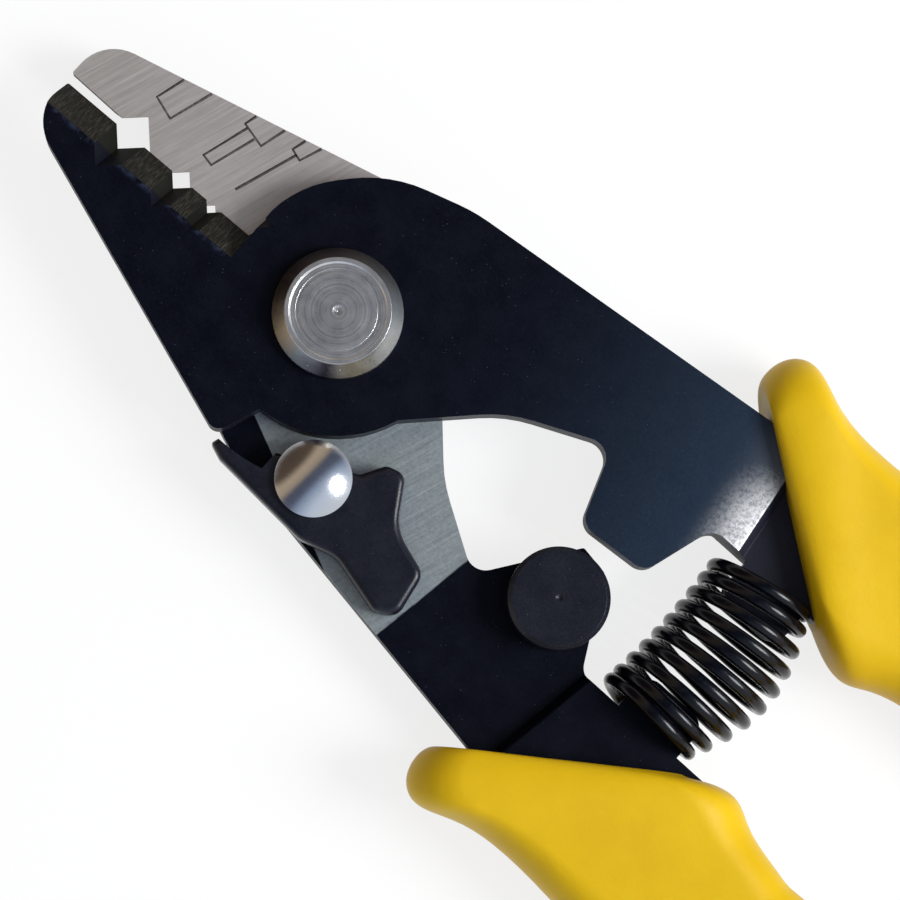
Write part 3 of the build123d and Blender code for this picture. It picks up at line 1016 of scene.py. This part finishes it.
@dataclass
class Levers:
    """The two steel levers."""

    edge_break: float = 0.10
    crease: float = 32.0
    bevel_turn_front: float = math.degrees(math.atan2(0.73, 23.1))
    land: float = 0.3
    jaw_root: float = 11.2
    front_edge: float = -0.27
    rear_edge: float = 0.28
    face_step: float = 44.1
    slope_run: float = 3.0
    slope_rise: float = 2.9
    lap_line_rear: tuple[Point, Point] = ((-23.06, 20.06), (-24.74, 8.85))
    nose_line: tuple[Point, Point] = ((-3.01, 13.28), (-0.24, 12.06))

    def build(self) -> None:
        """Make and settle both levers."""
        skin = BlackOxide("black_oxide_skin")
        rear_line = self.lap_line_rear
        front_line = tuple((x, -y) for x, y in rear_line)
        patch = RubbedSheenPatch(FRONT_SPLAY, FRONT_TOP, self.face_step, fade=6.2, inner=4.5, outer=12.5)
        front = LeverSteel(
            "front_lever_steel", LAP_LEVEL_FRONT, front_line, self._front_bevel(), skin, patch=patch
        )
        rear = LeverSteel(
            "rear_lever_steel", REAR_TOP, rear_line, self._rear_bevel(), skin, covered=self.nose_line
        )
        for node, steel, body in [("front_lever", front, Body.FRONT), ("rear_lever", rear, Body.REAR)]:
            piece = Bench.merged_copy(node, node + "_blank")
            Bench.soften(piece, self.crease)
            piece = Bench.broken_edges(piece, self.edge_break, self.crease)
            Bench.wear(piece, steel.make())
            Bench.settle(piece, body, Slot.BLACKENED, node)

    def _front_bevel(self) -> BevelPlane:
        """Plane of the front jaw's ground face.

        Returns:
            The plane.
        """
        turn = math.radians(self.bevel_turn_front)
        size = math.hypot(self.slope_run, self.slope_rise)
        across = -self.slope_rise / size
        normal = (-across * math.sin(turn), across * math.cos(turn), self.slope_run / size)
        point = (self.jaw_root, self.front_edge, LAP_LEVEL_FRONT + self.land)
        return BevelPlane(point, normal, self.jaw_root, self.slope_rise)

    def _rear_bevel(self) -> BevelPlane:
        """Plane of the rear jaw's ground face, on the side away from the viewer.

        Returns:
            The plane.
        """
        size = math.hypot(self.slope_run, self.slope_rise)
        normal = (0.0, self.slope_rise / size, -self.slope_run / size)
        point = (self.jaw_root, self.rear_edge, REAR_TOP - self.land)
        return BevelPlane(point, normal, self.jaw_root, self.slope_rise)


@dataclass
class EtchedMarks:
    """Stepped outlines etched into the rear jaw that show what each notch strips."""

    line_width: float = 0.28
    stand: float = 0.012
    level: float = REAR_TOP
    paths: tuple[tuple[Point, ...], ...] = (
        ((26.39, -7.32), (27.17, -4.34), (24.83, -3.62), (23.49, -8.11)),
        ((18.88, -9.38), (19.18, -8.12), (16.62, -7.53), (15.92, -10.19)),
        ((18.73, -7.94), (20.08, -3.17), (18.89, -2.94), (17.53, -7.58)),
        ((13.78, -10.78), (14.14, -9.35), (12.94, -8.99), (12.12, -11.24)),
        ((13.50, -9.19), (15.58, -2.74)),
    )

    def build(self) -> None:
        """Make and settle the marks."""
        tree = Tree("etched line")
        tree.given("Path", "NodeSocketGeometry")
        tree.given("Width")
        tree.given("Stand")
        curve = tree.node("GeometryNodeMeshToCurve", None, {0: tree.take("Path")})
        inputs = {"Width": tree.take("Width"), "Height": tree.maths("MULTIPLY", tree.take("Stand"), 2.0)}
        profile = tree.node("GeometryNodeCurvePrimitiveQuadrilateral", None, inputs)
        inputs = {"Curve": curve.outputs[0], "Profile Curve": profile.outputs[0], "Fill Caps": True}
        swept = tree.node("GeometryNodeCurveToMesh", None, inputs)
        tree.close(swept.outputs[0], EtchedInk("etched_oxide").make())
        seed = self._seed()
        values = {"Width": self.line_width * MM, "Stand": self.stand * MM}
        marks = tree.grow("etched_marks", seed, values)
        Bench.settle(marks, Body.REAR, Slot.GROUND)

    def _seed(self) -> bpy.types.Object:
        """Edges of the marks as a wire mesh on the jaw's face.

        Returns:
            The wire mesh's object.
        """
        points: list[tuple[float, float, float]] = []
        edges: list[tuple[int, int]] = []
        for path in self.paths:
            first = len(points)
            points += [(x * MM, y * MM, self.level * MM) for x, y in path]
            edges += [(first + i, first + i + 1) for i in range(len(path) - 1)]
        mesh = bpy.data.meshes.new("etched paths")
        mesh.from_pydata(points, edges, [])
        seed = bpy.data.objects.new("etched paths", mesh)
        bpy.context.scene.collection.objects.link(seed)
        return seed


@dataclass
class ReturnSpring:
    """Coil spring between the handles: bent and a little barrelled, with closed end turns."""

    centre_x: float = -47.3
    rear_end: float = 9.6
    front_end: float = -8.85
    outside: float = 11.1
    barrel: float = 1.1
    wire: float = 1.3
    turns: float = 9.7
    closed_front: float = 1.0
    closed_rear: float = 1.3
    bow: float = 1.6
    lean_front: float = -9.0
    lean_rear: float = 6.0
    seat_gap: float = 0.12
    closed_pitch: float = 1.02
    wire_sides: int = 14
    steps_per_turn: int = 40

    def build(self) -> None:
        """Make the spring and hide its CAD node."""
        tree = self._tree()
        mesh = bpy.data.meshes.new("spring seed")
        seed = bpy.data.objects.new("spring seed", mesh)
        bpy.context.scene.collection.objects.link(seed)
        spring = tree.grow("coil_spring", seed, self._values())
        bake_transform(spring)
        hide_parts("return_spring")
        LOG.info("coil_spring bends between the levers, %d faces", len(spring.data.polygons))

    def _tree(self) -> Tree:
        """Tree that winds the wire: each point's turn, way along the axis, radius and lean.

        Returns:
            The tree, closed with the wire's material.
        """
        tree = Tree("wound spring")
        for name in (
            "Front End", "Length", "Radius", "Barrel", "Wire Radius", "Turns", "Closed Front", "Closed Rear",
            "Closed Pitch", "Open Pitch", "Bow", "Lean Front", "Lean Rear", "Axis X", "Axis Z",
        ):
            tree.given(name)
        tree.given("Steps", "NodeSocketInt")
        line = tree.node("GeometryNodeMeshLine", {"mode": "OFFSET"}, {"Count": tree.take("Steps")})
        index = tree.node("GeometryNodeInputIndex").outputs[0]
        last = tree.maths("SUBTRACT", tree.take("Steps"), 1.0)
        wound = tree.maths("MULTIPLY", tree.maths("DIVIDE", index, last), tree.take("Turns"))
        rise = self._rise(tree, wound)
        share = tree.maths("DIVIDE", rise, tree.take("Length"))
        arch = tree.maths("SINE", tree.maths("MULTIPLY", share, math.pi))
        spread = tree.maths("SUBTRACT", tree.take("Lean Rear"), tree.take("Lean Front"))
        lean = tree.maths("ADD", tree.take("Lean Front"), tree.maths("MULTIPLY", share, spread))
        radius = tree.maths("ADD", tree.take("Radius"), tree.maths("MULTIPLY", arch, tree.take("Barrel")))
        turn = tree.maths("MULTIPLY", wound, 2 * math.pi)
        flat = tree.maths("MULTIPLY", tree.maths("COSINE", turn), radius)
        ring_x = tree.maths("MULTIPLY", flat, tree.maths("COSINE", lean))
        ring_y = tree.maths("MULTIPLY", flat, tree.maths("SINE", lean))
        ring_z = tree.maths("MULTIPLY", tree.maths("SINE", turn), radius)
        out = tree.maths("ADD", tree.maths("MULTIPLY", arch, tree.take("Bow")), ring_x)
        x = tree.maths("SUBTRACT", tree.take("Axis X"), out)
        y = tree.maths("ADD", tree.maths("ADD", tree.take("Front End"), rise), ring_y)
        z = tree.maths("ADD", tree.take("Axis Z"), ring_z)
        place = tree.node("ShaderNodeCombineXYZ", None, [x, y, z]).outputs[0]
        moved = tree.node("GeometryNodeSetPosition", None, {0: line.outputs[0], "Position": place})
        curve = tree.node("GeometryNodeMeshToCurve", None, {0: moved.outputs[0]})
        inputs = {"Resolution": self.wire_sides, "Radius": tree.take("Wire Radius")}
        section = tree.node("GeometryNodeCurvePrimitiveCircle", None, inputs)
        inputs = {"Curve": curve.outputs[0], "Profile Curve": section.outputs[0], "Fill Caps": True}
        swept = tree.node("GeometryNodeCurveToMesh", None, inputs)
        smooth = tree.node("GeometryNodeSetShadeSmooth", None, {0: swept.outputs[0]})
        tree.close(smooth.outputs[0], SpringSteel("spring_wire").make())
        return tree

    def _values(self) -> dict[str, object]:
        """The tree's inputs, with lengths in metres and angles in radians.

        Returns:
            The values by the names of the inputs.
        """
        inset = self.wire / 2 + self.seat_gap
        length = self.rear_end - self.front_end - inset * 2
        closed = self.closed_front + self.closed_rear
        closed_pitch = self.wire * self.closed_pitch
        open_pitch = (length - closed * closed_pitch) / (self.turns - closed)
        return {
            "Front End": (self.front_end + inset) * MM,
            "Length": length * MM,
            "Radius": (self.outside - self.wire) / 2 * MM,
            "Barrel": self.barrel * MM,
            "Wire Radius": self.wire / 2 * MM,
            "Turns": self.turns,
            "Closed Front": self.closed_front,
            "Closed Rear": self.closed_rear,
            "Closed Pitch": closed_pitch * MM,
            "Open Pitch": open_pitch * MM,
            "Bow": self.bow * MM,
            "Lean Front": math.radians(self.lean_front),
            "Lean Rear": math.radians(self.lean_rear),
            "Axis X": self.centre_x * MM,
            "Axis Z": MID_LEVEL * MM,
            "Steps": int(self.turns * self.steps_per_turn) + 1,
        }

    def _rise(self, tree: Tree, wound: bpy.types.NodeSocket) -> bpy.types.NodeSocket:
        """Way along the axis after that many turns: closed, then open, then closed again.

        Args:
            tree: the spring's tree.
            wound: turns wound so far.

        Returns:
            The way along the axis.
        """
        first = tree.maths("MINIMUM", wound, tree.take("Closed Front"))
        rear_start = tree.maths("SUBTRACT", tree.take("Turns"), tree.take("Closed Rear"))
        last = tree.maths("MAXIMUM", tree.maths("SUBTRACT", wound, rear_start), 0.0)
        middle = tree.maths("SUBTRACT", tree.maths("SUBTRACT", wound, first), last)
        closed = tree.maths("MULTIPLY", tree.maths("ADD", first, last), tree.take("Closed Pitch"))
        return tree.maths("ADD", closed, tree.maths("MULTIPLY", middle, tree.take("Open Pitch")))


@dataclass
class Grips:
    """The two moulded handle sleeves."""

    crease: float = 50.0

    def build(self) -> None:
        """Make and settle both grips."""
        vinyl = YellowVinyl("yellow_vinyl_skin").make()
        for node, body in [("front_grip", Body.FRONT), ("rear_grip", Body.REAR)]:
            piece = Bench.merged_copy(node, node + "_sleeve")
            Bench.soften(piece, self.crease)
            Bench.wear(piece, vinyl)
            Bench.settle(piece, body, Slot.VINYL, node)


@dataclass
class Hardware:
    """Pivot, latch, stop and their rivets and washers."""

    crease: float = 25.0
    small_tone: Colour = (0.0035, 0.0045, 0.0095)
    small_worn: Colour = (0.008, 0.009, 0.016)
    edge_breaks: dict[str, float] = field(
        default_factory=lambda: {"stop_button": 0.13, "pivot_rivet": 0.13, "lock_latch": 0.55}
    )

    def build(self) -> None:
        """Make and settle the small steel pieces."""
        turned = TurnedSteel("turned_pivot_steel").make()
        dome = PolishedDome("polished_dome_steel").make()
        black = BlackOxide(
            "black_oxide_small", self.small_tone, self.small_worn, rough=0.33, sheen=0.32
        ).make()
        rows = [
            ("pivot_rivet", turned, Body.REAR, Slot.TURNED),
            ("pivot_washer", turned, Body.REAR, Slot.TURNED),
            ("latch_washer", turned, Body.REAR, Slot.TURNED),
            ("latch_rivet", dome, Body.REAR, Slot.POLISHED),
            ("lock_latch", black, Body.LATCH, Slot.BLACKENED),
            ("stop_button", black, Body.REAR, Slot.BLACKENED),
        ]
        for node, material, body, slot in rows:
            piece = Bench.merged_copy(node, node + "_part")
            Bench.soften(piece, self.crease)
            if node in self.edge_breaks:
                piece = Bench.broken_edges(piece, self.edge_breaks[node], self.crease)
            Bench.wear(piece, material)
            Bench.settle(piece, body, slot, node)


@dataclass(frozen=True)
class SoftLamp:
    """Round soft lamp, placed in metres along the image's right and up and above the tool."""

    name: str
    place: Point
    height: float
    size: float
    power: float
    glossy: bool = True


@dataclass
class Studio:
    """Floor, lights and the camera at the photograph's angle."""

    target: tuple[float, float, float] = (-16.56, 2.442, 9.0)
    lean_right: float = -0.052
    lean_up: float = -0.105
    distance: float = 385.0
    frame_width: float = 85.217
    sensor: float = 36.0
    image_turn: float = 41.967
    floor_tone: float = 0.85
    floor_glow: float = 0.80
    floor_half: float = 1.2
    lamps: tuple[SoftLamp, ...] = (
        SoftLamp("key_softbox", (0.40, -0.08), 0.33, 0.26, 3.1),
        SoftLamp("overhead_fill", (0.0, 0.0), 0.90, 1.0, 0.7, glossy=False),
    )
    pale: Colour = (0.80, 0.80, 0.80)
    surround: tuple[tuple[float, Colour], ...] = (
        (0.00, (0.10, 0.07, 0.05)),
        (0.16, (0.12, 0.085, 0.06)),
        (0.24, (0.62, 0.49, 0.35)),
        (0.34, (0.50, 0.40, 0.29)),
        (0.41, (0.09, 0.11, 0.16)),
        (0.53, (0.11, 0.13, 0.19)),
        (0.63, (0.36, 0.45, 0.60)),
        (0.80, (0.75, 0.85, 1.0)),
        (1.00, (0.90, 0.95, 1.0)),
    )

    def build(self) -> None:
        """Make the floor, the lamps, the world and the camera."""
        scene = bpy.context.scene
        scene.view_settings.view_transform = "Standard"
        self._floor()
        self._world()
        for lamp in self.lamps:
            self._light(lamp)
        self._camera()

    def _axes(self) -> tuple[Vector, Vector]:
        """Image right and image up in the plane that the tool rests on.

        Returns:
            The two directions.
        """
        turn = math.radians(self.image_turn)
        right = Vector((-math.cos(turn), -math.sin(turn), 0.0))
        up = Vector((math.sin(turn), -math.cos(turn), 0.0))
        return right, up

    def _aim(self, thing: bpy.types.Object, at: Vector, up: Vector) -> None:
        """Turn a lamp or camera so that it looks at a point with up towards the image's top.

        Args:
            thing: the lamp or camera.
            at: the point.
            up: direction of the image's top.
        """
        back = (thing.location - at).normalized()
        side = up.cross(back).normalized()
        top = back.cross(side)
        turn = thing.rotation_euler.to_matrix()
        turn.col[0], turn.col[1], turn.col[2] = side, top, back
        thing.rotation_euler = turn.to_euler()

    def _camera(self) -> None:
        """Camera that looks down at the tool, a little from the image's lower left."""
        right, up = self._axes()
        data = bpy.data.cameras.new("photo_camera")
        data.sensor_width = self.sensor
        data.lens = self.sensor * self.distance / self.frame_width
        data.clip_start = 0.01
        camera = bpy.data.objects.new("photo_camera", data)
        bpy.context.scene.collection.objects.link(camera)
        target = Vector(self.target) * MM
        way = Vector((0, 0, 1)) + right * self.lean_right + up * self.lean_up
        camera.location = target + way.normalized() * self.distance * MM
        self._aim(camera, target, up)
        bpy.context.scene.camera = camera

    def _light(self, lamp: SoftLamp) -> None:
        """Hang one lamp and aim it at the tool.

        Args:
            lamp: the lamp's place, size and power.
        """
        right, up = self._axes()
        data = bpy.data.lights.new(lamp.name, "AREA")
        data.shape = "DISK"
        data.size = lamp.size
        data.energy = lamp.power
        thing = bpy.data.objects.new(lamp.name, data)
        bpy.context.scene.collection.objects.link(thing)
        thing.visible_glossy = lamp.glossy
        target = Vector(self.target) * MM
        thing.location = target + right * lamp.place[0] + up * lamp.place[1] + Vector((0, 0, lamp.height))
        self._aim(thing, target, up)

    def _floor(self) -> None:
        """Plain pale floor under the tool."""
        half = self.floor_half
        mesh = bpy.data.meshes.new("studio_floor")
        plan = [(-half, -half, 0), (half, -half, 0), (half, half, 0), (-half, half, 0)]
        mesh.from_pydata(plan, [], [(0, 1, 2, 3)])
        floor = bpy.data.objects.new("studio_floor", mesh)
        bpy.context.scene.collection.objects.link(floor)
        Bench.wear(floor, self._floor_paint())

    def _floor_paint(self) -> bpy.types.Material:
        """White where the camera or a reflection sees it, with the shadow kept faintly.

        Returns:
            The material.
        """
        paint = Paint("pale_floor")
        seen = paint.node("ShaderNodeLightPath", output="Is Camera Ray")
        for ray in ("Is Glossy Ray", "Is Transmission Ray"):
            seen = seen.larger(paint.node("ShaderNodeLightPath", output=ray))
        tone = paint.mix(seen, (self.floor_tone,) * 3, (self.floor_tone * (1.0 - self.floor_glow),) * 3)
        glow = paint.mix(seen, (0.0, 0.0, 0.0), (self.floor_glow,) * 3)
        return paint.finish(Base_Color=tone, Roughness=0.9, Emission_Color=glow, Emission_Strength=1.0)

    def _world(self) -> None:
        """Room round the tool: dim and warm on one side, bright and cool on the other, pale low down."""
        right, up = self._axes()
        bright_side = (right - up).normalized()
        sky = Sky("studio_surround")
        way = sky.node("ShaderNodeTexCoord", output="Generated")
        side = sky.vector("DOT_PRODUCT", way, tuple(bright_side), 1)
        _, _, height = sky.axes(way)
        settings = {"stops": self.surround}
        room = sky.node("ShaderNodeValToRGB", settings, [side * 0.5 + 0.5])
        sky.close(sky.mix(height.rise(0.05, 0.22), self.pale, room))


def main() -> None:
    """Build the whole model in order."""
    logging.basicConfig(level=logging.INFO, format="%(name)s: %(message)s")
    Levers().build()
    EtchedMarks().build()
    Hardware().build()
    Grips().build()
    ReturnSpring().build()
    Studio().build()
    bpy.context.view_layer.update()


if __name__ == "__main__":
    main()
